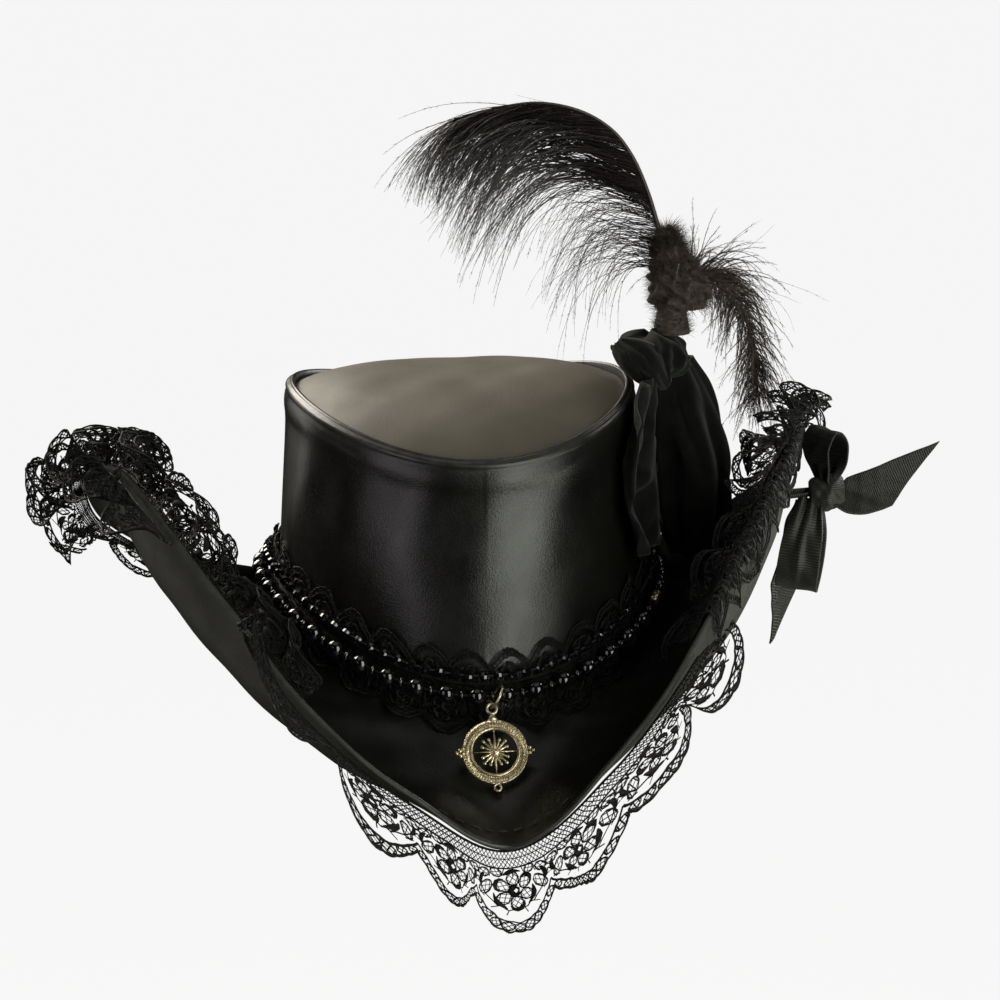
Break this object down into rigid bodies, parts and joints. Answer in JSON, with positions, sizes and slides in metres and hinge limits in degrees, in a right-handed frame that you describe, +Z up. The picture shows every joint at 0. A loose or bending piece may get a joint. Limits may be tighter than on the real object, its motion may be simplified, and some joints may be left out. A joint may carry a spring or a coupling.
{
  "type": "pirate hat",
  "caption": "Black leather pirate hat with rolled wings, lace trim, bead strands with a compass pendant, velvet drape, plumes and a ribbon bow.",
  "frame": {"origin": "middle of the head opening, level with the sides of the crown's foot", "axes": "+Z up through the crown, -Y to the front point of the brim, +X to the side with the plumes and the bow"},
  "size_m": [0.4382, 0.3924, 0.3369],
  "materials": {
    "leather_black": "satin finished black leather",
    "leather_tip": "matt taupe grey leather",
    "lining_satin": "black satin",
    "sweat_leather": "smooth brown leather",
    "sewing_thread": "waxed black thread",
    "lace": "black cotton lace",
    "strand_cord": "black cord",
    "jet_bead": "polished jet black glass",
    "jet_crystal": "faceted jet black glass",
    "old_gold": "pale antique gold plate",
    "velvet": "black crushed velvet",
    "plume_tape": "brown floral tape with down",
    "quill": "dark dyed quill",
    "plume_barbs": "dark brown ostrich barbs",
    "plume_down": "brown down",
    "grosgrain": "black grosgrain ribbon"
  },
  "bodies": {
    "hat": {"crown_side": "leather_black", "crown_tip": "leather_tip", "crown_lining": "lining_satin", "sweatband": "sweat_leather", "brim": "leather_black", "foot_stitches": "sewing_thread", "back_seam_stitches": "sewing_thread", "brim_point_stitches": "sewing_thread", "hatband_lace": "lace", "brim_lace_front": "lace", "brim_lace_left_ruffle": "lace", "brim_lace_left_wing": "lace", "brim_lace_right_fold": "lace", "brim_lace_right_wing": "lace", "brim_lace_back": "lace", "lace_tacks": "sewing_thread", "lower_strand_thread": "strand_cord", "round_beads": "jet_bead", "spacer_beads": "jet_bead", "upper_strand_thread": "strand_cord", "crystal_beads": "jet_crystal", "strand_clasp": "old_gold", "velvet_knot": "velvet", "velvet_drape": "velvet", "velvet_loop": "velvet", "plume_binding": "plume_tape", "bow_anchor_band": "grosgrain", "bow_knot": "grosgrain", "bow_upper_loop": "grosgrain", "bow_lower_loop": "grosgrain"},
    "jump_ring": {"jump_ring": "old_gold"},
    "compass": {"compass_frame": "old_gold", "compass_rose": "old_gold"},
    "tall_plume": {"tall_plume_quill": "quill", "tall_plume_vane": "plume_barbs", "tall_plume_down": "plume_down"},
    "short_plume": {"short_plume_quill": "quill", "short_plume_vane": "plume_barbs"},
    "side_tail": {"bow_side_tail": "grosgrain"},
    "hanging_tail": {"bow_hanging_tail": "grosgrain"}
  },
  "joints": [
    {"name": "jump_ring_swing", "type": "hinge", "parent": "hat", "child": "jump_ring", "pos_m": [0, -0.10909, -0.015], "axis": [-1, 0, 0], "range_deg": [0, 35]},
    {"name": "pendant_swing", "type": "hinge", "parent": "jump_ring", "child": "compass", "pos_m": [0.0015, -0.11009, -0.0152], "axis": [-0.866, 0, 0.5], "range_deg": [0, 40]},
    {"name": "tall_plume_lean", "type": "hinge", "parent": "hat", "child": "tall_plume", "pos_m": [0.099, -0.006, 0.14], "axis": [0, 1, 0], "range_deg": [-4, 12], "stiffness_Nm_per_rad": 0.5},
    {"name": "short_plume_lean", "type": "hinge", "parent": "hat", "child": "short_plume", "pos_m": [0.102, -0.002, 0.1402], "axis": [0, 1, 0], "range_deg": [-14, 3], "stiffness_Nm_per_rad": 0.2},
    {"name": "side_tail_swing", "type": "hinge", "parent": "hat", "child": "side_tail", "pos_m": [0.1835, -0.004, 0.042], "axis": [0, 1, 0], "range_deg": [-12, 35], "stiffness_Nm_per_rad": 0.01},
    {"name": "hanging_tail_swing", "type": "hinge", "parent": "hat", "child": "hanging_tail", "pos_m": [0.168, 0.011, 0.0375], "axis": [0, 1, 0], "range_deg": [-25, 6], "stiffness_Nm_per_rad": 0.01}
  ]
}
